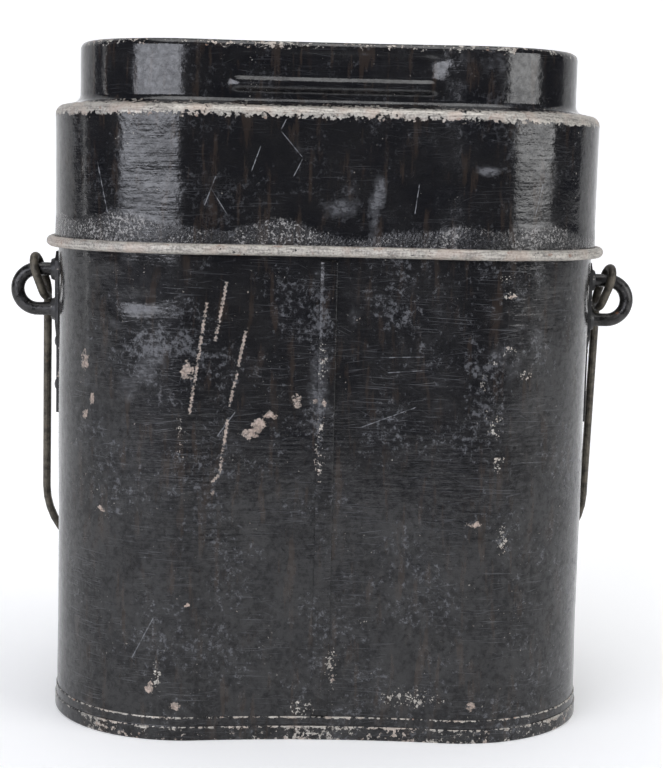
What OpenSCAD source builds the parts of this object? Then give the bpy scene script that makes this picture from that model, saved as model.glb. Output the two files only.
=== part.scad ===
// Painted sheet-metal mess tin: a kidney-shaped cooking pot with a deep press-on lid and a
// swinging wire bail.
// The width lies along X, the height along Z, and the hollow front wall faces -Y.
// The origin is the middle of the plan, on the ground.
// A sheet's section is a list of [out, up] points: the distance out from the pot wall's outer
// face, and the height. plan_ring() carries one such point round the plan.

/* [Pot] */
// Width over the two end walls
pot_w = 150; // [120:1:180]
// Depth from the back wall to the front corners
pot_d = 88; // [70:1:110]
// Height of the pot's rolled rim above the ground
pot_h = 169.3; // [120:0.1:200]
// Plan radius of the four upright corners
corner_r = 37; // [25:0.5:42]
// How far the front wall bows in at its middle
front_hollow = 2.2; // [1:0.1:6]
// Thickness of the pot wall
wall_t = 0.6; // [0.4:0.1:1]
// Diameter of the wire inside the pot's rim
rim_wire_d = 1.8; // [1:0.1:3]
// Width of the strip soldered over the upright seam
seam_w = 4.6; // [3:0.1:8]
// Thickness of the strip soldered over the upright seam
seam_t = 0.35; // [0.2:0.05:1]

/* [Pot base] */
// Height of the base's thick lower band
band_h = 3.9; // [2:0.1:8]
// Height of the base's thin upper band
band_upper_h = 6.5; // [4:0.1:12]
// How far the lower band stands off the wall
band_proud = 0.55; // [0.3:0.05:1.5]
// Height of the recess under the base plate
base_recess = 2.6; // [1:0.1:5]

/* [Lid] */
// Height of the lid's lower edge above the ground
lid_z = 131.35; // [100:0.1:160]
// Height of the lid's flat top above the ground
lid_top_z = 187.4; // [150:0.1:220]
// Height at which the skirt starts to turn in to the shoulder
shoulder_z = 167.6; // [140:0.1:200]
// Thickness of the lid sheet
lid_t = 0.55; // [0.4:0.05:1]
// Gap between the pot wall and the lid's skirt
lid_gap = 0.35; // [0.3:0.05:1]
// How far the crown's wall lies inside the pot wall's outer face
crown_inset = 5.8; // [3:0.1:12]
// Rise of the shoulder towards the crown, in degrees
shoulder_slope = 12; // [0:1:30]
// Radius of the rounded shoulder
shoulder_r = 2.8; // [1:0.1:5]
// Radius of the hollow fillet where the crown rises from the shoulder
crown_fillet_r = 2.4; // [1:0.1:5]
// Radius of the crown's top edge
crown_edge_r = 2; // [1:0.1:4]
// Outer radius of the rolled bead at the lid's mouth
bead_r = 1.5; // [1.2:0.05:3]
// Diameter of the wire inside the bead
bead_wire_d = 1.8; // [1:0.1:4]
// Length of the stiffening rib pressed out of the crown's front
rib_len = 54; // [20:1:60]
// Height of the rib
rib_h = 3.6; // [2:0.1:6]
// Height of the rib's middle above the ground
rib_z = 176; // [174:0.1:184]
// How far the rib stands off the crown
rib_proud = 0.9; // [0.4:0.1:2]

/* [Ears] */
// Diameter of the ear loop's wire
ear_wire_d = 3.8; // [2:0.1:6]
// Height of the ear loop's upper wire, which the bail turns on
pivot_z = 124.1; // [100:0.1:140]
// Distance between the loop's upper and lower wires, centre to centre
ear_span = 11.4; // [8:0.1:20]
// Reach of the loop's straight wires out from the end wall
ear_reach = 7; // [4:0.1:12]
// Width of the ear plate at its top
plate_w = 18; // [12:0.5:24]
// Width of the ear plate's lower tongue
tongue_w = 11; // [6:0.5:18]
// Thickness of the ear plate
plate_t = 1; // [0.8:0.1:3]
// Height of the ear plate's lower end above the ground
plate_z = 83.5; // [60:0.5:100]
// How far the ear plate rises above the loop's upper wire
plate_rise = 5.4; // [2:0.1:6.5]
// Reach of the raised socket that grips each loop wire, out from the plate
socket_reach = 2; // [1:0.1:4]
// Diameter of the rivet heads
rivet_head_d = 4.4; // [3:0.1:8]
// Heights of the two rivets above the ground
rivet_heights = [91, 103.5];

/* [Bail] */
// Diameter of the bail's wire
bail_wire_d = 2.4; // [1.5:0.1:4]
// Length of the bail from its pivot to the middle of its grip
bail_len = 108; // [80:1:130]
// Half the width of the bail at its pivots
bail_pivot_x = 81.9; // [80:0.1:90]
// Half the width of the bail where its arms are widest
bail_wide_x = 83.6; // [80:0.1:95]
// Radius of the bail's two bends beside the grip
bail_bend_r = 30; // [15:1:45]
// Radius of the bail's eye, to the middle of its wire
eye_r = 3.7; // [3:0.1:6]
// How much longer than round the eye is
eye_stretch = 4.9; // [0:0.1:8]
// Angle at which the bail hangs, out from upright towards the back, in degrees
bail_lean = 25; // [0:0.1:60]

/* [Hidden] */

$fn = 96;
// Clearance between pieces that are rolled, soldered or riveted together
seat = 0.04;
// The two ends of the tin
left = -1;
right = 1;

// Plan: corner centres, and the front wall's arc, which meets the corners without a kink
corner_x = pot_w / 2 - corner_r;
corner_y = pot_d / 2 - corner_r;
front_turn = 2 * atan(front_hollow / corner_x);
front_span = corner_x / sin(front_turn);
front_r = front_span - corner_r;
front_centre_y = -corner_y - front_span * cos(front_turn);
corner_steps = 10;
front_steps = 16;

// Pot wall, with its rim rolled inwards over a wire
curl_steps = 12;
rim_hollow_r = rim_wire_d / 2 + seat;
rim_r = rim_hollow_r + wall_t;
rim_z = pot_h - rim_r;
rim_end_turn = 300;
wall_foot_z = 1.25;

// Pot base: a plate with a folded band round the foot of the wall
base_t = 0.6;
foot_inner = -wall_t - seat - base_t;
band_upper_proud = 0.3;

// Lid sheet, with its mouth rolled outwards over a wire
skirt_out = lid_gap + lid_t;
bead_out = lid_gap + bead_r;
bead_z = lid_z + bead_r;
bead_end_turn = 125;
shoulder_out = skirt_out - shoulder_r;
arc_steps = 6;
// Where the shoulder's arc ends, the ledge slopes up to the crown's fillet
ledge_turn = 90 - shoulder_slope;
fillet_out = crown_fillet_r - crown_inset;
ledge_run = shoulder_out - fillet_out + (shoulder_r + crown_fillet_r) * cos(ledge_turn);
fillet_z = shoulder_z + (shoulder_r + crown_fillet_r) * sin(ledge_turn)
  + ledge_run * tan(shoulder_slope);
crown_edge_out = -crown_inset - crown_edge_r;
crown_edge_z = lid_top_z - crown_edge_r;
// Steps across the rib's height, and the length over which its ends run out
rib_steps = 6;
rib_run_out = 5;

// Ears
end_x = pot_w / 2;
plate_x = end_x + seat;
plate_face_x = plate_x + plate_t;
ear_r = ear_span / 2;
ear_z = pivot_z - ear_r;
plate_top_z = pivot_z + plate_rise;
plate_shoulder_z = ear_z - ear_span;
plate_corner_r = 2.5;
socket_r = ear_wire_d / 2 + 1;
socket_flare = 1.2;
leg_x = end_x + plate_t / 2;
rivet_shank_r = 1.2;
rivet_head_h = 1.1;
rivet_hole_r = rivet_shank_r + seat;

// Bail
bail_wire_r = bail_wire_d / 2;
arm_foot = eye_stretch + eye_r;
eye_tilt = 15;
bend_steps = 12;
bend_x = bail_wide_x - bail_bend_r;
arm_foot_x = bail_pivot_x - arm_foot * tan(eye_tilt);
// The arms splay out until they meet the bends without a kink
bend_z = bail_len - bail_bend_r;
arm_splay = splay_angle(arm_foot_x - bend_x, bend_z - arm_foot, bail_bend_r);

// Colours: worn black paint and bare steel wire
black = [0.10, 0.11, 0.13];
steel = [0.42, 0.40, 0.36];

// Angle from upright of the line that runs down from a point, placed across and up from a
// circle's centre, and touches the circle
function splay_angle(across, up, r) = atan2(up, across) - acos(r / norm([across, up]));

// Points along an arc, both ends included
function arc_points(centre, r, from, to, steps) =
  [for (i = [0 : steps]) let (a = from + (to - from) * i / steps) centre + r * [cos(a), sin(a)]];

// The points of a list without its two ends
function inner_points(points) = [for (i = [1 : len(points) - 2]) points[i]];

// A list in the opposite order
function reversed(points) = [for (i = [len(points) - 1 : -1 : 0]) points[i]];

// A wire's round section
function ring_section(centre, r) =
  [for (i = [0 : curl_steps - 1]) centre + r * [cos(i * 360 / curl_steps), sin(i * 360 / curl_steps)]];

// The plan's outline, moved outwards by a distance
function plan_points(out) = concat(
  arc_points([corner_x, corner_y], corner_r + out, 0, 90, corner_steps),
  arc_points([-corner_x, corner_y], corner_r + out, 90, 180, corner_steps),
  arc_points([-corner_x, -corner_y], corner_r + out, 180, 270 + front_turn, corner_steps),
  inner_points(arc_points([0, front_centre_y], front_r - out, 90 + front_turn, 90 - front_turn,
    front_steps)),
  arc_points([corner_x, -corner_y], corner_r + out, 270 - front_turn, 360, corner_steps)
);

// How far the rib lifts the crown's front at a point of the plan and a height
function rib_lift(p, z) =
  let (along = min(1, max(0, (rib_len / 2 + rib_run_out / 2 - abs(p.x)) / rib_run_out)),
       across = max(0, 1 - pow(2 * (z - rib_z) / rib_h, 2)))
  p.y < 0 ? rib_proud * along * across : 0;

// One section point carried round the plan, as points in space. A ribbed point moves with the rib.
function plan_ring(point, ribbed = false) =
  [for (p = plan_points(point[0])) [p.x, p.y - (ribbed ? rib_lift(p, point[1]) : 0), point[1]]];

// A solid through rings of points. A capped one is closed by its first and last rings, and an
// uncapped one runs on from the last ring to the first.
module skin(rings, capped = false) {
  count = len(rings[0]);
  spans = capped ? len(rings) - 1 : len(rings);
  sides = [
    for (j = [0 : spans - 1], i = [0 : count - 1])
      let (a = j * count, b = ((j + 1) % len(rings)) * count, next = (i + 1) % count)
        [a + i, a + next, b + next, b + i]
  ];
  caps = [
    [for (i = [count - 1 : -1 : 0]) i],
    [for (i = [0 : count - 1]) (len(rings) - 1) * count + i]
  ];
  polyhedron([for (r = rings) each r], capped ? concat(sides, caps) : sides);
}

// A sheet's section carried round the plan
module plan_sweep(section) {
  skin([for (point = section) plan_ring(point)]);
}

// Mirrors its children to the tin's left end, or leaves them at its right end
module at_end(side) {
  mirror([side == left ? 1 : 0, 0, 0]) children();
}

// A cylinder along +X
module bar_x(x, z, r, length) {
  translate([x, 0, z]) rotate([0, 90, 0]) cylinder(r = r, h = length);
}

module rivet_holes() {
  for (z = rivet_heights) bar_x(end_x - 2 * wall_t, z, rivet_hole_r, 2 * wall_t + 2 * plate_t);
}

module pot_wall() {
  rim_centre = [-rim_r, rim_z];
  section = concat(
    [[-wall_t, wall_foot_z], [0, wall_foot_z]],
    arc_points(rim_centre, rim_r, 0, rim_end_turn, curl_steps),
    arc_points(rim_centre, rim_hollow_r, rim_end_turn, 0, curl_steps)
  );
  color(black) difference() {
    plan_sweep(section);
    for (side = [left, right]) at_end(side) rivet_holes();
  }
}

// A flat layer between two heights with the plan's outline, moved outwards by a distance
module plan_layer(out, low, high) {
  translate([0, 0, low]) linear_extrude(high - low) polygon(plan_points(out));
}

module pot_bottom() {
  groove_z = wall_foot_z - seat;
  color(black) difference() {
    union() {
      plan_layer(band_proud, 0, band_h);
      plan_layer(band_upper_proud, 0, band_upper_h);
    }
    difference() {
      plan_layer(seat, groove_z, pot_h);
      plan_layer(-wall_t - seat, 0, base_recess + base_t);
    }
    plan_layer(foot_inner, -base_t, base_recess);
  }
}

module pot_rim_wire() {
  color(steel) plan_sweep(ring_section([-rim_r, rim_z], rim_wire_d / 2));
}

module pot_seam_strip() {
  strip_turn = asin(seam_w / 2 / front_r);
  strip_foot_z = band_upper_h + seat;
  strip_top_z = lid_z - 2 * lid_gap;
  color(black)
    translate([0, front_centre_y, 0]) rotate([0, 0, 90 - strip_turn])
      rotate_extrude(angle = 2 * strip_turn)
        translate([front_r - seat - seam_t, strip_foot_z]) square([seam_t, strip_top_z - strip_foot_z]);
}

module ear_plate(side) {
  color(black) at_end(side) difference() {
    union() {
      translate([plate_x, 0, 0]) rotate([90, 0, 90]) linear_extrude(plate_t) polygon([
        [-tongue_w / 2, plate_z],
        [tongue_w / 2, plate_z],
        [tongue_w / 2, plate_shoulder_z - plate_corner_r],
        [plate_w / 2, plate_shoulder_z + plate_corner_r],
        [plate_w / 2, plate_top_z - plate_corner_r],
        [plate_w / 2 - plate_corner_r, plate_top_z],
        [plate_corner_r - plate_w / 2, plate_top_z],
        [-plate_w / 2, plate_top_z - plate_corner_r],
        [-plate_w / 2, plate_shoulder_z + plate_corner_r],
        [-tongue_w / 2, plate_shoulder_z - plate_corner_r]
      ]);
      for (z = [pivot_z, pivot_z - ear_span])
        translate([plate_x, 0, z]) rotate([0, 90, 0])
          cylinder(r1 = socket_r + socket_flare, r2 = socket_r, h = plate_t + socket_reach);
    }
    for (z = [pivot_z, pivot_z - ear_span])
      bar_x(leg_x - seat, z, ear_wire_d / 2 + seat, plate_t + 2 * socket_reach);
    rivet_holes();
  }
}

module ear_loop(side) {
  bend_start_x = end_x + ear_reach;
  color(steel) at_end(side) {
    for (z = [pivot_z, pivot_z - ear_span]) bar_x(leg_x, z, ear_wire_d / 2, bend_start_x - leg_x);
    translate([bend_start_x, 0, ear_z]) rotate([90, 0, 0]) rotate([0, 0, -90])
      rotate_extrude(angle = 180) translate([ear_r, 0]) circle(ear_wire_d / 2);
  }
}

module ear_rivet(side, z) {
  head_r = rivet_head_d / 2;
  tail_x = end_x - wall_t - seat;
  dome_r = (head_r * head_r + rivet_head_h * rivet_head_h) / (2 * rivet_head_h);
  color(black) at_end(side) {
    bar_x(tail_x - rivet_head_h, z, rivet_shank_r, plate_face_x + seat - tail_x + rivet_head_h);
    bar_x(tail_x - rivet_head_h / 2, z, head_r, rivet_head_h / 2);
    translate([plate_face_x + seat, 0, z]) rotate([0, 90, 0]) intersection() {
      translate([0, 0, rivet_head_h - dome_r]) sphere(dome_r);
      cylinder(r = head_r, h = rivet_head_h);
    }
  }
}

module lid_shell() {
  bead_centre = [bead_out, bead_z];
  shoulder_centre = [shoulder_out, shoulder_z];
  fillet_centre = [fillet_out, fillet_z];
  edge_centre = [crown_edge_out, crown_edge_z];
  rib_points = function (out)
    [for (i = [-rib_steps / 2 : rib_steps / 2]) [out, rib_z + i * rib_h / rib_steps]];
  outside = concat(
    arc_points(edge_centre, crown_edge_r, 90, 0, arc_steps),
    reversed(rib_points(-crown_inset)),
    arc_points(fillet_centre, crown_fillet_r, 180, 180 + ledge_turn, arc_steps),
    arc_points(shoulder_centre, shoulder_r, ledge_turn, 0, arc_steps),
    arc_points(bead_centre, bead_r - lid_t, 180, 360 + bead_end_turn, curl_steps)
  );
  inside = concat(
    arc_points(bead_centre, bead_r, 360 + bead_end_turn, 180, curl_steps),
    arc_points(shoulder_centre, shoulder_r - lid_t, 0, ledge_turn, arc_steps),
    arc_points(fillet_centre, crown_fillet_r + lid_t, 180 + ledge_turn, 180, arc_steps),
    rib_points(-crown_inset - lid_t),
    arc_points(edge_centre, crown_edge_r - lid_t, 0, 90, arc_steps)
  );
  color(black) skin([for (point = concat(outside, inside)) plan_ring(point, true)], true);
}

module lid_rim_wire() {
  color(steel) plan_sweep(ring_section([bead_out, bead_z], bead_wire_d / 2));
}

// Half of the eye's length round, about the origin in the XY plane
module eye_half(from) {
  rotate([0, 0, from]) rotate_extrude(angle = 180) translate([eye_r, 0]) circle(bail_wire_r);
}

// The long eye round the ear loop's upper wire, hanging down from the pivot
module bail_eye() {
  translate([bail_pivot_x, 0, 0]) rotate([0, eye_tilt, 0]) rotate([90, 0, 90]) {
    eye_half(0);
    for (y = [-eye_r, eye_r])
      translate([y, -eye_stretch, 0]) rotate([-90, 0, 0]) cylinder(r = bail_wire_r, h = eye_stretch);
    translate([0, -eye_stretch, 0]) eye_half(180);
  }
}

// The wire's round section at a point of the bail, square to the wire. The turn is the
// direction out of the bail in its own plane.
function bail_ring(point, turn) = [
  for (i = [0 : curl_steps - 1]) let (a = i * 360 / curl_steps, out = bail_wire_r * cos(a))
    [point.x + out * cos(turn), bail_wire_r * sin(a), point.y + out * sin(turn)]
];

// The wire round one bend, between two turns
function bend_rings(side, from, to) = [
  for (i = [0 : bend_steps]) let (turn = from + (to - from) * i / bend_steps)
    bail_ring([side * bend_x, -bend_z] + bail_bend_r * [cos(turn), sin(turn)], turn)
];

// The arms and the grip, from the foot of the right eye round to the foot of the left one
module bail_frame() {
  skin(capped = true, rings = concat(
    [bail_ring([arm_foot_x, -arm_foot], arm_splay)],
    bend_rings(right, arm_splay, -90),
    bend_rings(left, -90, -180 - arm_splay),
    [bail_ring([-arm_foot_x, -arm_foot], -180 - arm_splay)]
  ));
}

module bail_wire() {
  color(steel) translate([0, 0, pivot_z]) rotate([bail_lean, 0, 0]) {
    bail_frame();
    for (side = [left, right]) at_end(side) bail_eye();
  }
}

pot_wall();
pot_bottom();
pot_rim_wire();
pot_seam_strip();
ear_plate(left);  // left_ear_plate
ear_plate(right);  // right_ear_plate
ear_loop(left);  // left_ear_loop
ear_loop(right);  // right_ear_loop
ear_rivet(left, rivet_heights[1]);  // left_ear_upper_rivet
ear_rivet(left, rivet_heights[0]);  // left_ear_lower_rivet
ear_rivet(right, rivet_heights[1]);  // right_ear_upper_rivet
ear_rivet(right, rivet_heights[0]);  // right_ear_lower_rivet
lid_shell();
lid_rim_wire();
bail_wire();
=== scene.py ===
"""Looks for the black mess tin: sheet pieces with dents and worn paint, bare wires, and the studio."""

import math

import bpy
from mathutils import Matrix, Vector, noise


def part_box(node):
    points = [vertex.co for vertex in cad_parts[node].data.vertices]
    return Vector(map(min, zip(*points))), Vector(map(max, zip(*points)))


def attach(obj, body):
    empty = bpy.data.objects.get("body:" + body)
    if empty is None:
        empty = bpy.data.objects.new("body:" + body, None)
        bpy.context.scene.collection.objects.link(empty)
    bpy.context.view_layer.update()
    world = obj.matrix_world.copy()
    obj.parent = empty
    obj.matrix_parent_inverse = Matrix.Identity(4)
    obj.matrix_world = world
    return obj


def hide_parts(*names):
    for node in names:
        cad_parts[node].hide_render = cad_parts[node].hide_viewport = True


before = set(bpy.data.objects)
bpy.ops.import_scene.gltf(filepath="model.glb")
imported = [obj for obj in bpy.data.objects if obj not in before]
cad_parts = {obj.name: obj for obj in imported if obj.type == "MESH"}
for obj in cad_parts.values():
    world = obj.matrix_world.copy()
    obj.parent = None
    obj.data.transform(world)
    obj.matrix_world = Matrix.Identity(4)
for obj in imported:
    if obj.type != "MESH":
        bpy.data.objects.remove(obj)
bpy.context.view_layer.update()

# ---------------------------------------------------------------- measures, in metres
MM = 0.001
# The plan: the corners' radius and how far the front is hollowed
CORNER_R = 37 * MM
FRONT_HOLLOW = 2.2 * MM
# Sheet thicknesses
WALL_T = 0.6 * MM
LID_T = 0.55 * MM
# The rolled edges of the lid and the pot
BEAD_R = 1.5 * MM
RIM_R = 1.54 * MM
# The lid: its sloping shoulder in degrees, the bends above and below it, and its crown
SHOULDER_R = 2.8 * MM
SHOULDER_SLOPE = 12
FILLET_R = 2.4 * MM
CROWN_EDGE_R = 2.0 * MM
SKIRT_TURN_IN = 19.8 * MM
CROWN_INSET = 5.8 * MM
# How far the bead stays inside the CAD model's faceted one
CAD_SLACK = 0.06 * MM
# Spacing of a sheet's vertices along the plan
FINE_STEP = 0.85 * MM

WALL_LOW, WALL_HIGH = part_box("pot_wall")
BASE_LOW, BASE_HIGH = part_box("pot_bottom")
LID_LOW, LID_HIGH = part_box("lid_shell")
STRIP_LOW, STRIP_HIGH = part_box("pot_seam_strip")

HALF_W = WALL_HIGH[0]
HALF_D = WALL_HIGH[1]
CORNER_X = HALF_W - CORNER_R
CORNER_Y = HALF_D - CORNER_R
FRONT_TURN = 2 * math.atan(FRONT_HOLLOW / CORNER_X)
FRONT_SPAN = CORNER_X / math.sin(FRONT_TURN)
FRONT_R = FRONT_SPAN - CORNER_R
FRONT_CENTRE = Vector((0, -CORNER_Y - FRONT_SPAN * math.cos(FRONT_TURN)))
BEAD_OUT = LID_HIGH[0] - HALF_W - BEAD_R
BEAD_Z = LID_LOW[2] + BEAD_R
LID_GAP = BEAD_OUT - BEAD_R
SKIRT_OUT = LID_GAP + LID_T
SHOULDER_Z = LID_HIGH[2] - SKIRT_TURN_IN

# Chipped and scratched places on the front, as (across, up) in millimetres from the middle of the
# ground line, with their sizes
LONG_SCRATCHES = (
    ((-21.4, 112.5), (-25.7, 91)),
    ((-26, 88), (-28, 73)),
    ((-28, 73), (-30.3, 70.8)),
    ((-31.9, 119), (-36.2, 89)),
    ((-26.8, 124.5), (-29.7, 108.5)),
)
CHIPS = (
    (-37, 101, 1.6, 2.6),
    (-19.8, 84.0, 2.6, 1.9),
    (-17.6, 86.6, 1.9, 1.9),
    (-14.8, 89.0, 2.1, 1.2),
    (-7.8, 93, 1.4, 2.0),
    (-3, 93, 0.9, 1.1),
    (-0.5, 92.7, 0.8, 1.2),
    (-65, 101.5, 1.1, 2.6),
    (-63, 91.5, 0.8, 1.8),
    (-65, 87, 0.8, 1.6),
    (-60, 62, 1.8, 0.8),
    (-46, 14, 1.1, 2.2),
    (-39, 9.5, 1.6, 1.4),
    (-36, 37.5, 1.2, 0.7),
    (-29.7, 68, 0.7, 0.8),
    (-35.2, 99.2, 1.1, 0.7),
    (3.5, 17, 0.9, 1.6),
    (41, 10.5, 1.2, 1.4),
    (40.5, 60.5, 2.2, 1.0),
    (48.5, 122, 1.5, 0.9),
)
# Loose groups of small chips: middle across and up, then half sizes
CHIP_GROUPS = (
    (48, 122, 3.2, 1.6),
    (47, 127, 4.5, 1.3),
    (48.5, 107.5, 3, 1.7),
    (44.5, 104, 3, 1.7),
    (41.6, 99.5, 1.5, 3.8),
    (53.5, 101, 2.5, 2.6),
    (45, 87, 3.2, 4.5),
    (46.5, 77, 2.4, 4.5),
    (48.5, 56, 2, 7),
    (-1.5, 80, 2, 14),
    (-1, 104, 2, 8),
    (3, 20, 2.4, 9),
    (-5, 9, 5, 4),
    (-44, 18, 2.4, 8),
    (-38.5, 83, 1.8, 9),
    (25, 12, 12, 4),
)
# Lighter, hazier places, the same way: dust and rubbing, a band down the seam, and two painted glints that
# paint the narrow highlight streak on the skirt's front
DUST_AND_GLINTS = (
    # A lighter, duller band down the seam.
    (-1.5, 106, 4.0, 32, 0.42),
    (-50, 116.5, 6, 1.9, 0.85),
    (-44, 104, 15, 20, 0.30),
    # Painted glints: these two paint the skirt's narrow highlight streak as paler bluish haze.
    (11.4, 142, 2.2, 8, 0.75),
    (12.8, 148, 2.0, 7, 0.70),
    (20, 114, 14, 10, 0.26),
    (3.5, 143.5, 7, 3.5, 0.5),
    (41, 154.5, 4, 1.5, 0.9),
    (30, 108, 14, 12, 0.22),
    (46, 108, 16, 18, 0.30),
    (-5, 14, 10, 5, 0.3),
    (10, 118, 12, 8, 0.22),
)
# Knocks in the front: middle across and up, half sizes and depth
POT_KNOCKS = (
    (-50, 118.5, 6, 2.6, 0.30),
    (-56, 126, 4, 2.4, 0.16),
    (-28, 60, 9, 5, 0.20),
    (52, 84, 6, 7, 0.20),
    (24, 52, 12, 7, 0.25),
    (-58, 84, 5, 8, 0.18),
)
SKIRT_KNOCKS = ((11.5, 144, 4.2, 9, 0.16), (-40, 152, 10, 4, 0.10), (30, 150, 8, 6, 0.12))
CROWN_KNOCKS = ((-26, 181, 2.4, 2.0, 0.42), (27, 182.6, 3.5, 1.2, 0.25), (-57, 180, 2, 6, 0.08))
# Thin straight scratches in the front's paint, as two ends
THIN_SCRATCHES = (
    ((-12, 167), (-13.5, 164)),
    ((-13.5, 164), (-7.5, 157)),
    ((-7.5, 157), (-10, 152)),
    ((-61.5, 155), (-57.5, 137)),
    ((-33, 144), (-30, 152)),
    ((-31.5, 149), (-27, 142)),
    ((-21, 153), (-18.5, 160)),
    ((22, 143), (23, 151)),
    ((54, 143), (56, 152)),
    ((-45, 34), (-51, 22)),
    ((-24, 90), (-29, 83)),
    ((9, 86), (24, 92)),
    ((14, 105), (26, 105.5)),
    ((16, 101), (27, 102)),
)


# ---------------------------------------------------------------- the plan
def steps_for(length, step):
    return max(2, math.ceil(length / step))


def arc_stations(centre, radius, start, turn, step, hollow=False):
    """Points and outward normals along an arc, without its last point. Angles are in radians."""
    count = steps_for(abs(turn) * radius, step)
    for i in range(count):
        angle = start + turn * i / count
        ray = Vector((math.cos(angle), math.sin(angle)))
        yield Vector(centre) + radius * ray, -ray if hollow else ray


def line_stations(start, end, normal, step):
    """Points along a straight line, without its last point, all with the same normal."""
    count = steps_for((Vector(end) - Vector(start)).length, step)
    for i in range(count):
        yield Vector(start).lerp(Vector(end), i / count), Vector(normal)


def plan_stations(step):
    """The pot wall's outline, anticlockwise from the middle of the back, as (point, outward normal)."""
    quarter = math.pi / 2
    x, y, r, turn = CORNER_X, CORNER_Y, CORNER_R, FRONT_TURN
    return [
        *line_stations((0, HALF_D), (-x, HALF_D), (0, 1), step),
        *arc_stations((-x, y), r, quarter, quarter, step),
        *line_stations((-HALF_W, y), (-HALF_W, -y), (-1, 0), step),
        *arc_stations((-x, -y), r, 2 * quarter, quarter + turn, step),
        *arc_stations(FRONT_CENTRE, FRONT_R, quarter + turn, -2 * turn, step, hollow=True),
        *arc_stations((x, -y), r, 3 * quarter - turn, quarter + turn, step),
        *line_stations((HALF_W, -y), (HALF_W, y), (1, 0), step),
        *arc_stations((x, y), r, 0, quarter, step),
        *line_stations((x, HALF_D), (0, HALF_D), (0, 1), step),
    ]


# ---------------------------------------------------------------- sections: (out, up, side, edge)
OUTSIDE, INSIDE = 0, 1


def arc_section(centre, radius, start, end, count, side, edge=0.0):
    """Section points along an arc between two angles in degrees. edge may be a function of 0 to 1."""
    points = []
    for i in range(count + 1):
        angle = math.radians(start + (end - start) * i / count)
        bare = edge(i / count) if callable(edge) else edge
        across, up = radius * math.cos(angle), radius * math.sin(angle)
        points.append((centre[0] + across, centre[1] + up, side, bare))
    return points


def line_section(start, end, step, side, edge=0.0):
    """Section points strictly between two ends."""
    length = math.dist(start, end)
    count = steps_for(length, step)
    points = []
    for i in range(1, count):
        t = i / count
        bare = edge(t * length, (1 - t) * length) if callable(edge) else edge
        across, up = (end[0] - start[0]) * t, (end[1] - start[1]) * t
        points.append((start[0] + across, start[1] + up, side, bare))
    return points


def pot_section():
    """Up the outside of the pot's wall, round its rolled rim and down its inside."""
    foot = WALL_LOW[2]
    rim = (-RIM_R, WALL_HIGH[2] - RIM_R)
    return [
        (0, foot, OUTSIDE, 0),
        *line_section((0, foot), (0, rim[1]), 1.1 * MM, OUTSIDE),
        *arc_section(rim, RIM_R, 0, 300, 22, OUTSIDE, 0.75),
        *arc_section(rim, RIM_R - WALL_T, 300, 0, 22, INSIDE),
        *line_section((-WALL_T, rim[1]), (-WALL_T, foot), 6 * MM, INSIDE),
        (-WALL_T, foot, INSIDE, 0),
    ]


def lid_section():
    """From the middle of the lid's top, down its outside, round the bead and back up its inside."""
    top = LID_HIGH[2]
    ledge_turn = 90 - SHOULDER_SLOPE
    shoulder = (SKIRT_OUT - SHOULDER_R, SHOULDER_Z)
    fillet_out = FILLET_R - CROWN_INSET
    lean = math.radians(ledge_turn)
    run = shoulder[0] - fillet_out + (SHOULDER_R + FILLET_R) * math.cos(lean)
    rise = (SHOULDER_R + FILLET_R) * math.sin(lean) + run * math.tan(math.radians(SHOULDER_SLOPE))
    fillet = (fillet_out, SHOULDER_Z + rise)
    crown = (-CROWN_INSET - CROWN_EDGE_R, top - CROWN_EDGE_R)
    bead = (BEAD_OUT, BEAD_Z)
    bead_end = 360 + 125
    middle = crown[0] - 26 * MM
    inner_crown = -CROWN_INSET - LID_T

    def top_wear(start, end):
        return 0.30 * math.exp(-end / (2 * MM))

    def crown_edge_wear(t):
        return 0.38 + 0.16 * math.sin(math.pi * t)

    def crown_wear(start, end):
        return 0.30 * math.exp(-start / (1.1 * MM))

    def shoulder_wear(t):
        return 0.52 + 0.44 * math.sin(math.pi * (0.12 + 0.80 * t))

    def skirt_wear(start, end):
        return 0.10 * math.exp(-end / (0.8 * MM)) + 0.60 * math.exp(-start / (1.2 * MM))

    return [
        (middle, top, OUTSIDE, 0),
        *line_section((middle, top), (crown[0], top), 2.5 * MM, OUTSIDE, top_wear),
        *arc_section(crown, CROWN_EDGE_R, 90, 0, 9, OUTSIDE, crown_edge_wear),
        *line_section((-CROWN_INSET, crown[1]), (-CROWN_INSET, fillet[1]), 0.6 * MM, OUTSIDE, crown_wear),
        # The fillet's wear rises into the shoulder's worn band; along the fillet it is partly a painted
        # highlight, bare specks that paint the bright line the fillet reflects.
        *arc_section(fillet, FILLET_R, 180, 180 + ledge_turn, 9, OUTSIDE, lambda t: 0.12 + 0.30 * t),
        *arc_section(shoulder, SHOULDER_R, ledge_turn, 0, 12, OUTSIDE, shoulder_wear),
        *line_section((SKIRT_OUT, SHOULDER_Z), (SKIRT_OUT, BEAD_Z), 0.9 * MM, OUTSIDE, skirt_wear),
        *arc_section(bead, BEAD_R - LID_T, 180, bead_end, 20, INSIDE, 0.9),
        *arc_section(bead, BEAD_R - CAD_SLACK, bead_end, 180, 34, OUTSIDE, 0.97),
        *line_section((LID_GAP, BEAD_Z), (LID_GAP, SHOULDER_Z), 6 * MM, INSIDE),
        *arc_section(shoulder, SHOULDER_R - LID_T, 0, ledge_turn, 6, INSIDE),
        *arc_section(fillet, FILLET_R + LID_T, 180 + ledge_turn, 180, 6, INSIDE),
        *line_section((inner_crown, fillet[1]), (inner_crown, crown[1]), 0.6 * MM, INSIDE),
        *arc_section(crown, CROWN_EDGE_R - LID_T, 0, 90, 6, INSIDE),
        *line_section((crown[0], top - LID_T), (middle, top - LID_T), 6 * MM, INSIDE),
        (middle, top - LID_T, INSIDE, 0),
    ]


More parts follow.
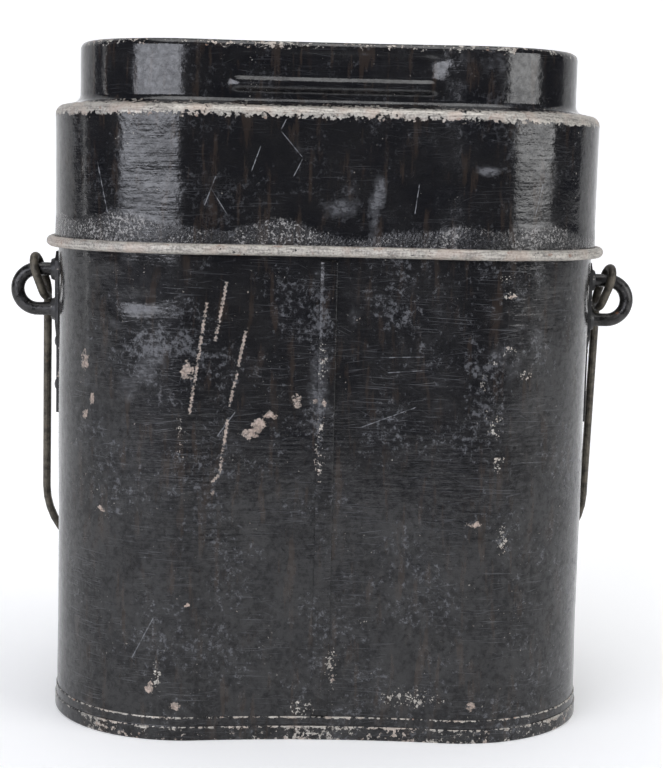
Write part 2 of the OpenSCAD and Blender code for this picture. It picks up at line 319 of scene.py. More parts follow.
def base_section():
    """The folded band round the foot of the wall, from under the base plate round to its top."""
    low, high = BASE_LOW[2], BASE_HIGH[2]
    proud = BASE_HIGH[0] - HALF_W
    neck = proud - 0.28 * MM
    inner = -WALL_T - 0.64 * MM
    seat = 0.04 * MM
    band = 3.9 * MM
    recess = 2.6 * MM
    plate = recess + 0.6 * MM
    groove = 1.21 * MM
    round_r = 0.42 * MM
    return [
        (inner - 20 * MM, recess, OUTSIDE, 0.1),
        (inner, recess, OUTSIDE, 0.2),
        (inner, low + 0.2 * MM, OUTSIDE, 0.5),
        (inner + 0.2 * MM, low, OUTSIDE, 0.7),
        *arc_section((proud - round_r, low + round_r), round_r, -90, 0, 5, OUTSIDE, 0.52),
        *line_section((proud, low + round_r), (proud, band - round_r), 0.5 * MM, OUTSIDE, 0.42),
        *arc_section((proud - 0.2 * MM, band - 0.2 * MM), 0.2 * MM, 0, 90, 3, OUTSIDE, 0.66),
        (neck, band, OUTSIDE, 0.2),
        (neck, band + 0.3 * MM, OUTSIDE, 0.15),
        *line_section((neck, band), (neck, high - 0.25 * MM), 0.6 * MM, OUTSIDE, 0.2),
        *arc_section((proud - 0.5 * MM, high - 0.22 * MM), 0.22 * MM, 0, 90, 3, OUTSIDE, 0.68),
        (seat, high, OUTSIDE, 0.3),
        (seat, groove, INSIDE, 0),
        (-WALL_T - seat, groove, INSIDE, 0),
        (-WALL_T - seat, plate, INSIDE, 0),
        (inner - 20 * MM, plate, INSIDE, 0),
    ]


# ---------------------------------------------------------------- shape of the sheets
def smooth(value, low, high):
    t = min(1.0, max(0.0, (value - low) / (high - low)))
    return t * t * (3 - 2 * t)


def pillow(value, half, soft):
    """1 inside a half width, falling smoothly to 0 over a soft edge."""
    return 1 - smooth(abs(value), half - soft / 2, half + soft / 2)


def wobble(point, size, seed):
    """Smooth noise from 0 to 1 with features of a size."""
    return 0.5 + 0.5 * noise.noise(point / size + Vector((seed, 0, 0)))


def pot_dents(point, normal):
    """How far the pot wall is pushed in. It is left true at its foot and under the lid."""
    free = smooth(point.z, 8 * MM, 30 * MM) * (1 - smooth(point.z, 120 * MM, 130 * MM))
    push = 0.36 * wobble(point, 38 * MM, 3) + 0.10 * wobble(point, 13 * MM, 9)
    push += 0.022 * wobble(point, 4 * MM, 17)
    if point.y < 0:
        push += sum(knock_depth(point, *knock) for knock in POT_KNOCKS)
    return free * push * MM


def knock_depth(point, x, z, half_x, half_z, depth):
    """How deep a round knock in the front is at a point."""
    return depth * math.exp(-(((point.x / MM - x) / half_x) ** 2) - ((point.z / MM - z) / half_z) ** 2)


def crown_lift(point):
    """The pressed rib, the shallow dished panel above it and two knocks, on the crown's front."""
    if point.y > 0 or point.z < 172 * MM:
        return 0.0
    x, z = point.x / MM, point.z / MM
    rib = 0.9 * max(0.0, 1 - ((z - 176) / 1.8) ** 2) ** 0.7 * (1 - smooth(abs(x - 0.6), 25, 28.5))
    crease = -0.16 * math.exp(-(((z - 178.4) / 0.5) ** 2)) * pillow(x, 27, 4)
    panel = -0.30 * pillow(z - 181.5, 2.9, 1.6) * pillow(x - 1, 27, 5)
    return (rib + crease + panel - sum(knock_depth(point, *knock) for knock in CROWN_KNOCKS)) * MM


def lid_dents(point, normal):
    """How far the lid is pushed in. Its skirt stays clear of the pot's wall inside it."""
    if point.z > 172 * MM:
        return 0.10 * MM * wobble(point, 20 * MM, 5) - crown_lift(point)
    skirt = smooth(point.z, 135 * MM, 141 * MM) * (1 - smooth(point.z, 161 * MM, 168 * MM))
    push = 0.16 * wobble(point, 30 * MM, 14) + 0.05 * wobble(point, 10 * MM, 21)
    push += 0.012 * wobble(point, 4 * MM, 28)
    if point.y < 0:
        push += sum(knock_depth(point, *knock) for knock in SKIRT_KNOCKS)
    return min(skirt * push * MM, LID_GAP - 0.05 * MM)


def no_dents(point, normal):
    return 0.0


# ---------------------------------------------------------------- marks on the paint
def front_marks(point):
    """How near a point of the front is to a solid chip, and its small chips and its dust with the painted
    glints, 0 to 1 each.
    """
    place = Vector((point.x, point.z)) / MM

    def reach(x, z, half_x, half_z):
        return math.hypot((place.x - x) / half_x, (place.y - z) / half_z)

    patch = chips = dust_and_glints = 0.0
    for spot in CHIPS:
        patch = max(patch, 1 - 0.5 * reach(*spot))
    for spot in CHIP_GROUPS:
        chips = max(chips, 1 - smooth(reach(*spot), 0.3, 1.25))
    for *spot, strength in DUST_AND_GLINTS:
        dust_and_glints = max(dust_and_glints, strength * (1 - smooth(reach(*spot), 0.2, 1.3)))
    return patch, chips, dust_and_glints


def sheet_marks(point, edge, crusty):
    """The marks of a painted sheet's outside, as (worn edge, small chips, dust and painted glints, crust,
    solid chip).
    """
    patch, chips, dust_and_glints = front_marks(point) if point.y < -2 * MM else (0.0, 0.0, 0.0)
    crust = 0.0
    z = point.z / MM
    patchy = wobble(point, 30 * MM, 31)
    chips = max(chips, 0.42 * smooth(wobble(point, 22 * MM, 40), 0.55, 0.85))
    if crusty:
        top = 138.0 + 8 * (wobble(Vector((point.x, point.y, 0)), 16 * MM, 52) - 0.42)
        crust = (1 - smooth(z, top - 0.5, top + 1.2)) * (0.75 + 0.35 * patchy)
    dust_and_glints = max(dust_and_glints, 0.16 * smooth(patchy, 0.5, 0.9))
    if edge > 0.3:
        edge += 0.36 * (wobble(point, 16 * MM, 61) - 0.5) + 0.34 * (wobble(point, 5 * MM, 66) - 0.5)
    return edge, chips, dust_and_glints, crust, patch


# ---------------------------------------------------------------- meshes
def add_object(name, mesh, materials, node, body):
    piece = bpy.data.objects.new(name, mesh)
    bpy.context.scene.collection.objects.link(piece)
    for material in materials:
        mesh.materials.append(material)
    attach(piece, body)
    if node:
        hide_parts(node)
    return piece


def smooth_faces(mesh):
    mesh.polygons.foreach_set("use_smooth", [True] * len(mesh.polygons))
    mesh.update()


def skinned_mesh(name, points, faces, places, marks):
    """A mesh with the paint's UV map, and each vertex's marks for the paint to read."""
    mesh = bpy.data.meshes.new(name)
    mesh.from_pydata([tuple(p) for p in points], [], faces)
    skin = mesh.uv_layers.new(name="skin")
    skin.data.foreach_set("uv", [c for place in places for c in place])
    paint = mesh.attributes.new("marks", "FLOAT_COLOR", "POINT")
    paint.data.foreach_set("color", [c for mark in marks for c in mark[:4]])
    patches = mesh.attributes.new("patches", "FLOAT", "POINT")
    patches.data.foreach_set("value", [mark[4] for mark in marks])
    return mesh


def sheet_points(section, stations, dents):
    """The vertices of a sheet, ring by ring, and their marks."""
    points, marks = [], []
    for out, up, side, edge in section:
        for base, normal in stations:
            flat = base + out * normal
            point = Vector((flat.x, flat.y, up))
            push = dents(point, normal)
            points.append(point - push * Vector((normal.x, normal.y, 0)))
            if side == OUTSIDE:
                marks.append(sheet_marks(point, edge, dents is lid_dents))
            else:
                marks.append((edge, 0.0, 0.1, 0.0, 0.0))
    return points, marks


def running_lengths(points):
    """Lengths along a closed line of points, from 0 to the whole."""
    lengths = [0.0]
    for a, b in zip(points, points[1:] + points[:1]):
        lengths.append(lengths[-1] + math.dist(a, b))
    return lengths


def sheet_piece(name, section, dents, materials, node, body, capped=False):
    """A sheet whose section is carried round the plan, with its marks, as one closed mesh.

    capped closes the first and last rings, and otherwise the section joins up with itself.
    """
    stations = plan_stations(FINE_STEP)
    points, marks = sheet_points(section, stations, dents)
    along = running_lengths([base for base, _ in stations])
    lengths = running_lengths([place[:2] for place in section])
    count, rings = len(stations), len(section)
    faces, places, kinds = [], [], []
    for j in range(rings - 1 if capped else rings):
        after = (j + 1) % rings
        kind = section[j][2] if section[j][2] == section[after][2] else OUTSIDE
        low, high = lengths[j], lengths[j + 1]
        for i in range(count):
            beside = (i + 1) % count
            left, right = along[i], along[i + 1]
            faces.append((j * count + i, after * count + i, after * count + beside, j * count + beside))
            places += [(left, low), (left, high), (right, high), (right, low)]
            kinds.append(kind)
    if capped:
        for ring, order in ((0, 1), (rings - 1, -1)):
            faces.append(tuple(ring * count + i for i in range(count))[::order])
            places += [tuple(points[v].xy) for v in faces[-1]]
            kinds.append(section[ring][2])
    mesh = skinned_mesh(name, points, faces, places, marks)
    mesh.polygons.foreach_set("material_index", kinds)
    smooth_faces(mesh)
    return add_object(name, mesh, materials, node, body)


def seam_strip(material):
    """The lapped seam down the front: a thin soft-edged strip that follows the wall's dents."""
    half = STRIP_HIGH[0]
    across, up = 24, steps_for(STRIP_HIGH[2] - STRIP_LOW[2], 1.2 * MM)
    proud = 0.30 * MM
    points, marks = [], []
    for face in (1, 0):
        for j in range(up + 1):
            z = STRIP_LOW[2] + (STRIP_HIGH[2] - STRIP_LOW[2]) * j / up
            for i in range(across + 1):
                x = half * (2 * i / across - 1)
                wall = Vector((x, FRONT_CENTRE.y + math.sqrt(FRONT_R**2 - x * x), z))
                ray = (wall - Vector((0, FRONT_CENTRE.y, z))).normalized()
                crown = proud * (1 - (x / half) ** 4) * (0.8 + 0.2 * wobble(wall, 9 * MM, 71))
                lift = crown if face else -0.1 * MM
                points.append(wall - (pot_dents(wall, ray) + lift) * ray)
                marks.append(sheet_marks(wall, 0.0, False))
    faces = strip_faces(across, up)
    places = [(points[v].x, points[v].z) for face in faces for v in face]
    mesh = skinned_mesh("seam_strip", points, faces, places, marks)
    smooth_faces(mesh)
    return add_object("seam_strip", mesh, [material], "pot_seam_strip", "pot")


def strip_faces(across, up):
    """The faces of two grids of points, front and back, closed round their edge."""
    row, sheet = across + 1, (across + 1) * (up + 1)
    faces = []
    for j in range(up):
        for i in range(across):
            a, b = j * row + i, (j + 1) * row + i
            faces.append((a, a + 1, b + 1, b))
            faces.append((sheet + a, sheet + b, sheet + b + 1, sheet + a + 1))
    rim = [i for i in range(across)] + [j * row + across for j in range(up)]
    rim += [up * row + i for i in range(across, 0, -1)] + [j * row for j in range(up, 0, -1)]
    faces += [(a, sheet + a, sheet + b, b) for a, b in zip(rim, rim[1:] + rim[:1])]
    return faces


# ---------------------------------------------------------------- material building
class Nodes:
    """Builds one material's node tree. A value may be a number, a colour or another socket."""

    def __init__(self, name):
        self.material = bpy.data.materials.new(name)
        self.material.use_nodes = True
        self.tree = self.material.node_tree
        self.shader = self.tree.nodes["Principled BSDF"]
        self.place = self.add("ShaderNodeTexCoord").outputs["Object"]

    def add(self, kind, inputs=(), **settings):
        node = self.tree.nodes.new(kind)
        for key, value in settings.items():
            setattr(node, key, value)
        for socket, value in dict(inputs).items():
            self.feed(node.inputs[socket], value)
        return node

    def feed(self, socket, value):
        if isinstance(value, bpy.types.NodeSocket):
            self.tree.links.new(value, socket)
        elif socket.type == "RGBA" and len(value) == 3:
            socket.default_value = (*value, 1)
        else:
            socket.default_value = value

    def math(self, operation, a, b=0.0):
        return self.add("ShaderNodeMath", {0: a, 1: b}, operation=operation).outputs[0]

    def times(self, a, b):
        return self.math("MULTIPLY", a, b)

    def plus(self, a, b):
        return self.math("ADD", a, b)

    def most(self, a, b):
        return self.math("MAXIMUM", a, b)

    def spread(self, value, amount):
        """A value about 0.5 turned into one about 0, times an amount."""
        return self.times(self.math("SUBTRACT", value, 0.5), amount)

    def attribute(self, name, output):
        return self.add("ShaderNodeAttribute", attribute_name=name).outputs[output]

    def stretch(self, place, sizes):
        scale = tuple(1 / s for s in sizes)
        return self.add("ShaderNodeMapping", {"Vector": place, "Scale": scale}).outputs[0]

    def noise(self, size, detail=3.0, rough=0.55, place=None):
        """Noise with features of a size in metres, or of three sizes along the axes."""
        sizes = size if isinstance(size, tuple) else (size,) * 3
        where = self.stretch(place or self.place, sizes)
        inputs = {"Vector": where, "Scale": 1.0, "Detail": detail, "Roughness": rough}
        return self.add("ShaderNodeTexNoise", inputs).outputs["Fac"]

    def step(self, value, low, high, start=0.0, end=1.0):
        inputs = {"Value": value, "From Min": low, "From Max": high, "To Min": start, "To Max": end}
        return self.add("ShaderNodeMapRange", inputs, interpolation_type="SMOOTHSTEP").outputs[0]

    def mix(self, factor, a, b):
        node = self.add("ShaderNodeMix", data_type="RGBA")
        self.feed(node.inputs[0], factor)
        self.feed(node.inputs[6], a)
        self.feed(node.inputs[7], b)
        return node.outputs[2]

    def blend(self, factor, a, b):
        """A number between a and b."""
        node = self.add("ShaderNodeMix", {0: factor, 2: a, 3: b}, data_type="FLOAT")
        return node.outputs[0]

    def bump(self, height, distance, normal=None):
        inputs = {"Height": height, "Distance": distance, "Strength": 1.0}
        if normal:
            inputs["Normal"] = normal
        return self.add("ShaderNodeBump", inputs).outputs[0]

    def finish(self, **sockets):
        for socket, value in sockets.items():
            self.feed(self.shader.inputs[socket.replace("_", " ")], value)
        return self.material


def rust_colours(n, streaks):
    """Dull tinned steel with grey, pinkish and rusty places, and where it is rusty."""
    rusty = n.step(n.noise(2.6 * MM, 4, 0.7), 0.60, 0.74)
    tone = n.plus(n.times(n.noise(0.55 * MM, 3, 0.6), 0.5), n.times(streaks, 0.5))
    grey = n.mix(n.step(tone, 0.36, 0.62), (0.189, 0.17775, 0.15975), (0.525, 0.49375, 0.44375))
    pinkish = n.step(n.noise(7 * MM, 2, 0.5), 0.48, 0.65, 0.0, 0.45)
    grey = n.mix(pinkish, grey, (0.45, 0.355, 0.295))
    return n.mix(rusty, grey, (0.17, 0.075, 0.038)), rusty


def dots(n, size, density, ragged=1.1):
    """Separate small chips in cells of a size. density, from 0 to 1, sets how many and how large."""
    halves = n.stretch(n.place, (size * 0.5,) * 3)
    warp = n.add("ShaderNodeTexNoise", {"Vector": halves, "Scale": 1.0, "Detail": 2.0}).outputs["Color"]
    moved = n.add("ShaderNodeVectorMath", {0: warp, 1: (ragged,) * 3}, operation="MULTIPLY").outputs[0]
    cell = n.stretch(n.place, (size,) * 3)
    where = n.add("ShaderNodeVectorMath", {0: cell, 1: moved}, operation="ADD").outputs[0]
    cells = n.add("ShaderNodeTexVoronoi", {"Vector": where, "Scale": 1.0})
    pick = n.add("ShaderNodeSeparateColor", {0: cells.outputs["Color"]}).outputs[0]
    reach = n.times(n.plus(n.math("SUBTRACT", pick, 1.0), density), 0.9)
    return n.step(n.math("SUBTRACT", reach, cells.outputs["Distance"]), -0.02, 0.05)


def one_straight_mark(n, start, end, width, beads):
    """A straight line between two places on the front, 1 in its middle and 0 away from it."""
    start, end = Vector(start) * MM, Vector(end) * MM
    along = end - start
    turn = -math.atan2(along.y, along.x)
    moves = {"Vector": n.place, "Location": (start.x, 0, start.y), "Rotation": (0, turn, 0)}
    turned = n.add("ShaderNodeMapping", moves, vector_type="TEXTURE")
    parts = n.add("ShaderNodeSeparateXYZ", {0: turned.outputs[0]})
    middle = n.math("ABSOLUTE", n.math("SUBTRACT", parts.outputs["X"], along.length / 2))
    inside = n.step(middle, along.length / 2, along.length / 2 - 0.5 * MM)
    off = n.math("ABSOLUTE", parts.outputs["Z"])
    if beads:
        turns = n.times(parts.outputs["X"], 2 * math.pi / beads)
        wave = n.math("SINE", n.plus(turns, n.times(n.noise(1.4 * MM, 2, 0.6), 14.0)))
        off = n.math("SUBTRACT", off, n.times(wave, 0.35 * width))
    return n.times(n.step(off, width, 0.5 * width), inside)


def straight_marks(n, ends, width, beads=0.0):
    """Straight scratches on the front, each between two places across and up. beads is the distance
    between the thick places of a beaded one."""
    found = 0.0
    for start, end in ends:
        found = n.most(found, one_straight_mark(n, start, end, width, beads))
    front = n.math("LESS_THAN", n.add("ShaderNodeSeparateXYZ", {0: n.place}).outputs["Y"], 0.0)
    return n.times(found, front)


def bare_places(n, edge, chips, beaded):
    """Where the paint is gone, and which of it has gone brownish: the large chips and long scratches."""
    worn = n.step(n.plus(edge, n.spread(n.noise(1.3 * MM, 5, 0.68), 2.0)), 0.58, 0.66)
    patches = n.plus(n.attribute("patches", "Fac"), n.spread(n.noise(1.7 * MM, 5, 0.72), 1.7))
    brownish = n.step(patches, 0.56, 0.66)
    if beaded:
        skips = n.step(n.noise(1.5 * MM, 4, 0.7), 0.42, 0.50)
        brownish = n.most(brownish, n.times(straight_marks(n, beaded, 0.46 * MM, 1.15 * MM), skips))
    specks = dots(n, 1.2 * MM, n.times(chips, 0.66), 1.9)
    crumbs = dots(n, 0.6 * MM, n.times(chips, 0.60), 1.6)
    tiny = dots(n, 0.8 * MM, n.step(n.noise(9 * MM, 3, 0.6), 0.5, 0.7, 0.10, 0.34))
    chipped = n.most(n.most(specks, crumbs), n.times(tiny, 0.6))
    return n.most(n.most(worn, brownish), chipped), brownish


def fine_scratches(n, skin, scratchy, thin):
    """Fine scratches, nearly level, in three directions, and the placed thin ones."""
    runs = 0.0
    for turn, length, low in ((0.04, 16, 0.60), (-0.15, 10, 0.62), (0.45, 8, 0.66)):
        turned = n.add("ShaderNodeVectorRotate", {"Vector": skin, "Angle": turn}, rotation_type="Z_AXIS")
        line = n.noise((length * MM, 0.34 * MM, 1), 2, 0.5, turned.outputs[0])
        runs = n.most(runs, n.step(line, low, low + 0.10))
    runs = n.times(runs, n.step(n.noise(15 * MM, 3, 0.6), 0.40, 0.60, 0.0, scratchy))
    gaps = n.step(n.noise(1.6 * MM, 2, 0.6), 0.40, 0.55, 0.2, 1.0)
    return n.most(runs, n.times(straight_marks(n, thin, 0.15 * MM), gaps))


def dull_places(n, skin, cloud, dust_and_glints, smudges):
    """Small smudges, and rubbed haze, which also paints the glints carried with the dust."""
    region = n.step(n.noise(20 * MM, 3, 0.6), 0.35, 0.65, -0.08, 0.06)
    smudge_level = n.plus(n.plus(n.noise(1.6 * MM, 6, 0.78), region), n.times(dust_and_glints, 0.20))
    smudge = n.step(smudge_level, 0.55, 0.72, 0.0, smudges)
    haze_and_glints = n.step(n.plus(cloud, n.times(dust_and_glints, 0.40)), 0.62, 0.98)
    mottle = n.noise((1.6 * MM, 0.8 * MM, 1), 5, 0.75, skin)
    return smudge, n.times(haze_and_glints, n.step(mottle, 0.40, 0.60, 0.35, 1.15))


def paint_relief(n, skin, ripple, crust, scratches, bare):
    """Brush marks and runs, blisters, scratches, and paint standing over the metal, as a normal."""
    brushed = n.noise((11 * MM, 1.2 * MM, 1), 3, 0.55, skin)
    calm = n.step(n.noise(26 * MM, 2, 0.5), 0.38, 0.62, 0.45, 1.25)
    normal = n.bump(n.times(brushed, calm), ripple)
    normal = n.bump(n.noise(2.8 * MM, 3, 0.55), 0.08 * MM, normal)
    blisters = n.times(n.noise(0.8 * MM, 3, 0.6), n.plus(crust, 0.07))
    normal = n.bump(blisters, 0.30 * MM, normal)
    normal = n.bump(n.times(scratches, -1.0), 0.02 * MM, normal)
    return n.bump(n.times(bare, -1.0), 0.08 * MM, normal)


def worn_paint(name, gloss, grimy, smudges, ripple, scratchy, thin, beaded=()):
    """Old black enamel on tinned steel: scratches, chips, dust, painted glints and blisters, placed by the
    mesh's marks.
    """
    n = Nodes(name)
    split = n.add("ShaderNodeSeparateColor", {0: n.attribute("marks", "Color")})
    edge, chips, dust_and_glints = split.outputs[0], split.outputs[1], split.outputs[2]
    crust = n.attribute("marks", "Alpha")
    skin = n.add("ShaderNodeUVMap", uv_map="skin").outputs[0]
    cloud = n.noise(11 * MM, 4, 0.6)
    bare, brownish = bare_places(n, edge, chips, beaded)
    scratches = fine_scratches(n, skin, scratchy, thin)
    smudge, haze_and_glints = dull_places(n, skin, cloud, dust_and_glints, smudges)
    flakes = n.plus(n.noise(0.7 * MM, 5, 0.78), n.step(cloud, 0.35, 0.65, -0.05, 0.05))
    crusted = n.add(
        "ShaderNodeMath", {0: crust, 1: n.step(flakes, 0.55, 0.61)}, operation="MULTIPLY", use_clamp=True
    ).outputs[0]

    # Colour, from the paint up
    black = n.mix(n.step(cloud, 0.3, 0.7), (0.0062, 0.0063, 0.0072), (0.0105, 0.0103, 0.0105))
    stains = n.step(n.noise((2.5 * MM, 2.5 * MM, 16 * MM), 4, 0.6), 0.53, 0.68, 0.0, 0.55)
    painted = n.mix(stains, black, (0.034, 0.024, 0.018))
    painted = n.mix(smudge, painted, (0.088, 0.090, 0.098))
    # Paler bluish haze; over the two glint places this is a painted highlight.
    painted = n.mix(haze_and_glints, painted, (0.105, 0.107, 0.115))
    painted = n.mix(scratches, painted, (0.135, 0.138, 0.148))
    painted = n.mix(crusted, painted, (0.30, 0.29, 0.28))
    metal, rusty = rust_colours(n, n.noise((5 * MM, 0.5 * MM, 1), 3, 0.6, skin))
    brown = n.mix(n.step(n.noise(0.8 * MM, 4, 0.7), 0.42, 0.60), (0.15, 0.11, 0.09), (0.45, 0.35, 0.295))
    metal = n.mix(n.times(brownish, 0.75), metal, brown)
    colour = n.mix(bare, painted, metal)

    # Gloss, with grime over it
    rough = n.step(n.noise(5 * MM, 4, 0.6), 0.3, 0.75, gloss, gloss + 0.10)
    rough = n.blend(n.most(smudge, haze_and_glints), rough, 0.50)
    rough = n.blend(n.most(bare, crusted), rough, 0.50)
    metallic = n.times(n.times(bare, 0.4), n.math("SUBTRACT", 1.0, rusty))
    grime = n.plus(n.noise(1.8 * MM, 6, 0.78), n.step(n.noise(14 * MM, 3, 0.6), 0.35, 0.65, -0.05, 0.05))
    shine = n.step(grime, 0.38, 0.64, 0.60, grimy)

    normal = paint_relief(n, skin, ripple, crust, scratches, bare)
    return n.finish(
        Base_Color=colour, Roughness=rough, Metallic=metallic, Normal=normal, Specular_IOR_Level=shine
    )


def tinned_inside(name):
    """The unpainted inside: dull tin gone grey, stained and spotted with rust."""
    n = Nodes(name)
    stain = n.noise(16 * MM, 5, 0.62)
    spots = n.step(n.noise(1.7 * MM, 4, 0.65), 0.62, 0.70)
    tin = n.mix(n.step(stain, 0.3, 0.7), (0.30, 0.285, 0.26), (0.13, 0.122, 0.112))
    colour = n.mix(spots, tin, (0.13, 0.058, 0.03))
    rough = n.step(n.noise(4 * MM, 4, 0.6), 0.3, 0.7, 0.38, 0.6)
    metallic = n.math("SUBTRACT", 0.8, n.times(spots, 0.7))
    normal = n.bump(n.noise(2.2 * MM, 4, 0.6), 0.12 * MM)
    return n.finish(Base_Color=colour, Roughness=rough, Metallic=metallic, Normal=normal)


def old_wire(name, steel, dark, rust_share, shine=0.35):
    """Drawn steel wire gone brown or black, with rust and pale rubbed places."""
    n = Nodes(name)
    cloud = n.noise(2.4 * MM, 5, 0.65)
    colour = n.mix(n.step(cloud, 0.35, 0.65), dark, steel)
    rusty = n.step(n.noise(1.9 * MM, 4, 0.65), 0.70 - rust_share, 0.78 - rust_share)
    colour = n.mix(rusty, colour, (0.15, 0.062, 0.03))
    rubbed = n.step(n.noise(0.7 * MM, 3, 0.6), 0.70, 0.76)
    colour = n.mix(rubbed, colour, (0.34, 0.32, 0.29))
    rough = n.step(cloud, 0.3, 0.7, shine + 0.05, shine + 0.25)
    normal = n.bump(n.noise(0.9 * MM, 4, 0.6), 0.10 * MM)
    metallic = n.times(n.math("SUBTRACT", 1.0, rusty), 0.55)
    return n.finish(Base_Color=colour, Roughness=rough, Metallic=metallic, Normal=normal)


def painted_fitting(name):
    """The riveted plates: the same black paint, with worn spots."""
    n = Nodes(name)
    cloud = n.noise(4 * MM, 5, 0.62)
    colour = n.mix(n.step(cloud, 0.35, 0.7), (0.009, 0.009, 0.01), (0.035, 0.034, 0.034))
    metal, _ = rust_colours(n, n.noise((1.5 * MM, 1.5 * MM, 0.3 * MM), 3, 0.6))
    worn = n.step(n.noise(1.2 * MM, 4, 0.65), 0.63, 0.68)
    colour = n.mix(worn, colour, metal)
    rough = n.step(n.noise(3 * MM, 3, 0.6), 0.3, 0.7, 0.32, 0.55)
    normal = n.bump(n.noise(1.1 * MM, 3, 0.6), 0.12 * MM)
    return n.finish(Base_Color=colour, Roughness=rough, Normal=normal)


# ---------------------------------------------------------------- pieces
def paint_cad(nodes, material, round_off=0.0):
    """Gives CAD nodes a material, and soft edges of a width where it is over 0."""
    for name in nodes:
        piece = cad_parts[name]
        piece.data.materials.clear()
        piece.data.materials.append(material)
        if round_off:
            bevel = piece.modifiers.new("soft_edges", "BEVEL")
            bevel.width = round_off
            bevel.segments = 2
            bevel.limit_method = "ANGLE"
            bevel.angle_limit = math.radians(35)


over_lid = [ends for ends in THIN_SCRATCHES if ends[0][1] * MM > LID_LOW[2]]
over_pot = [ends for ends in THIN_SCRATCHES if ends not in over_lid]
pot_paint = worn_paint(
    "pot_paint",
    gloss=0.11,
    grimy=0.27,
    smudges=0.85,
    ripple=0.07 * MM,
    scratchy=0.32,
    thin=over_pot,
    beaded=LONG_SCRATCHES,
)
lid_paint = worn_paint(
    "lid_paint", gloss=0.08, grimy=0.34, smudges=0.40, ripple=0.04 * MM, scratchy=0.16, thin=over_lid
)
inside_tin = tinned_inside("inside_tin")
bare_wire = old_wire(
    "bare_wire", steel=(0.055, 0.053, 0.052), dark=(0.014, 0.0135, 0.013), rust_share=0.06, shine=0.16
)
bail_steel = old_wire("bail_steel", steel=(0.14, 0.124, 0.097), dark=(0.04, 0.035, 0.028), rust_share=0.03)
fitting_paint = painted_fitting("fitting_paint")

pot_sides = [pot_paint, inside_tin]
lid_sides = [lid_paint, inside_tin]
sheet_piece("pot_wall_sheet", pot_section(), pot_dents, pot_sides, "pot_wall", "pot")
sheet_piece("pot_base", base_section(), no_dents, pot_sides, "pot_bottom", "pot", capped=True)
sheet_piece("lid_sheet", lid_section(), lid_dents, lid_sides, "lid_shell", "lid", capped=True)

SIDES = ("left", "right")
paint_cad([f"{side}_ear_plate" for side in SIDES], fitting_paint, 0.12 * MM)
paint_cad([f"{side}_ear_{row}_rivet" for side in SIDES for row in ("upper", "lower")], fitting_paint)
paint_cad([f"{side}_ear_loop" for side in SIDES] + ["pot_rim_wire", "lid_rim_wire"], bare_wire)
paint_cad(["bail_wire"], bail_steel)
seam_strip(pot_paint)


# ---------------------------------------------------------------- studio
def backdrop():
    """A floor that sweeps up into a wall behind, as one sheet. Well in front of the tin its colour turns
    dark as painted shade, and the paper glows, more towards the back, as painted light.
    """
    half, back, bend, height = 4.0, 1.9, 0.7, 3.2
    profile = [(-half, 0.0), (-1.5, 0.0), (0.0, 0.0), (back - bend, 0.0)]
    for i in range(1, 13):
        angle = math.radians(90 * i / 12)
        profile.append((back - bend + bend * math.sin(angle), bend - bend * math.cos(angle)))
    profile.append((back, height))
    points = [(x, y, z) for y, z in profile for x in (-half, half)]
    faces = [(2 * i, 2 * i + 1, 2 * i + 3, 2 * i + 2) for i in range(len(profile) - 1)]
    mesh = bpy.data.meshes.new("backdrop")
    mesh.from_pydata(points, [], faces)
    smooth_faces(mesh)
    floor = bpy.data.objects.new("backdrop", mesh)
    bpy.context.scene.collection.objects.link(floor)
    n = Nodes("backdrop_paper_painted_shade_and_glow")
    depth = n.add("ShaderNodeSeparateXYZ", {0: n.place}).outputs["Y"]
    # Painted shade: the paper's colour goes dark well in front of the tin, for the unlit floor there.
    tint = n.mix(n.step(depth, -0.54, -0.36), (0.045, 0.048, 0.06), (0.93, 0.93, 0.93))
    # Painted light: the paper glows, faintly in front and more towards the back, though it is no lamp.
    glow = n.step(depth, -0.4, 0.9, 0.04, 0.50)
    grain = n.bump(n.noise(1.5 * MM, 2, 0.5), 0.02 * MM)
    n.shader.inputs["Emission Color"].default_value = (1, 1, 1, 1)
    paper = n.finish(Base_Color=tint, Roughness=0.85, Emission_Strength=glow, Normal=grain)
    floor.data.materials.append(paper)


def soft_box(name, azimuth, elevation, distance, width, height, radiance, colour=(1, 1, 1)):
    """An area light aimed at the tin's middle. Azimuth 0 is straight in front and 90 to the right."""
    light = bpy.data.lights.new(name, "AREA")
    light.shape = "RECTANGLE"
    light.size, light.size_y = width, height
    light.energy = radiance * width * height * math.pi
    light.color = colour
    lamp = bpy.data.objects.new(name, light)
    a, e = math.radians(azimuth), math.radians(elevation)
    back = Vector((math.sin(a) * math.cos(e), -math.cos(a) * math.cos(e), math.sin(e)))
    lamp.location = Vector((0, 0, 0.11)) + distance * back
    lamp.rotation_mode = "QUATERNION"
    lamp.rotation_quaternion = back.to_track_quat("Z", "Y")
    bpy.context.scene.collection.objects.link(lamp)


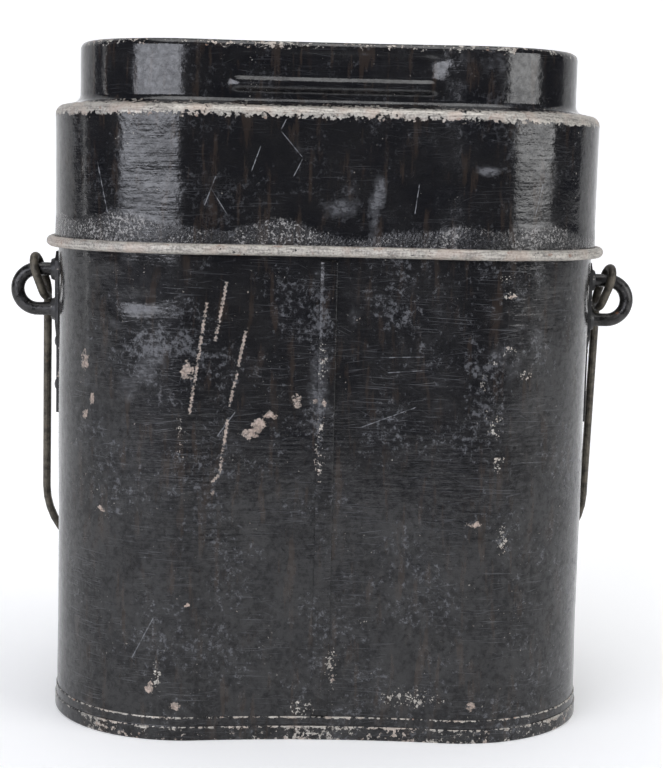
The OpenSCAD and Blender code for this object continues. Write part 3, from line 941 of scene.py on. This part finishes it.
def surroundings():
    """White all round and overhead, and dark in front, behind the camera."""
    world = bpy.data.worlds.new("studio")
    world.use_nodes = True
    tree = world.node_tree
    where = tree.nodes.new("ShaderNodeTexCoord")
    parts = tree.nodes.new("ShaderNodeSeparateXYZ")
    tree.links.new(where.outputs["Generated"], parts.inputs[0])
    shade = tree.nodes.new("ShaderNodeMapRange")
    shade.interpolation_type = "SMOOTHSTEP"
    tree.links.new(parts.outputs["Y"], shade.inputs["Value"])
    for socket, value in {"From Min": 0.30, "From Max": 0.70}.items():
        shade.inputs[socket].default_value = value
    tint = tree.nodes.new("ShaderNodeMix")
    tint.data_type = "RGBA"
    tree.links.new(shade.outputs[0], tint.inputs[0])
    tint.inputs[6].default_value = (0.045, 0.050, 0.070, 1)
    tint.inputs[7].default_value = (1.0, 1.0, 1.0, 1)
    tree.links.new(tint.outputs[2], tree.nodes["Background"].inputs["Color"])
    bpy.context.scene.world = world


def photo_camera():
    """The photograph's viewpoint: a little left of and above the middle, turned 2 degrees to the
    right and 7 down."""
    camera = bpy.data.cameras.new("camera")
    camera.lens, camera.sensor_width = 80, 36
    eye = bpy.data.objects.new("camera", camera)
    turn = Matrix.Rotation(math.radians(-2.04), 4, "Z") @ Matrix.Rotation(math.radians(90 - 7.25), 4, "X")
    eye.matrix_world = Matrix.Translation((-0.0147, -0.4910, 0.1549)) @ turn @ Matrix.Rotation(
        math.radians(1.34), 4, "Z"
    )
    bpy.context.scene.collection.objects.link(eye)
    bpy.context.scene.camera = eye


backdrop()
BLUISH = (0.95, 0.97, 1.06)
soft_box("left_box", -34, 13.5, distance=1.3, width=1.15, height=0.62, radiance=5.4, colour=BLUISH)
soft_box("right_box", 57, 13.5, distance=1.3, width=0.8, height=0.62, radiance=4.6)
soft_box("left_strip", -97, 10, distance=1.3, width=0.05, height=0.7, radiance=3.0)
soft_box("top_box", 0, 80, distance=1.5, width=1.4, height=1.2, radiance=2.9)
surroundings()
photo_camera()
bpy.context.scene.view_settings.view_transform = "Standard"
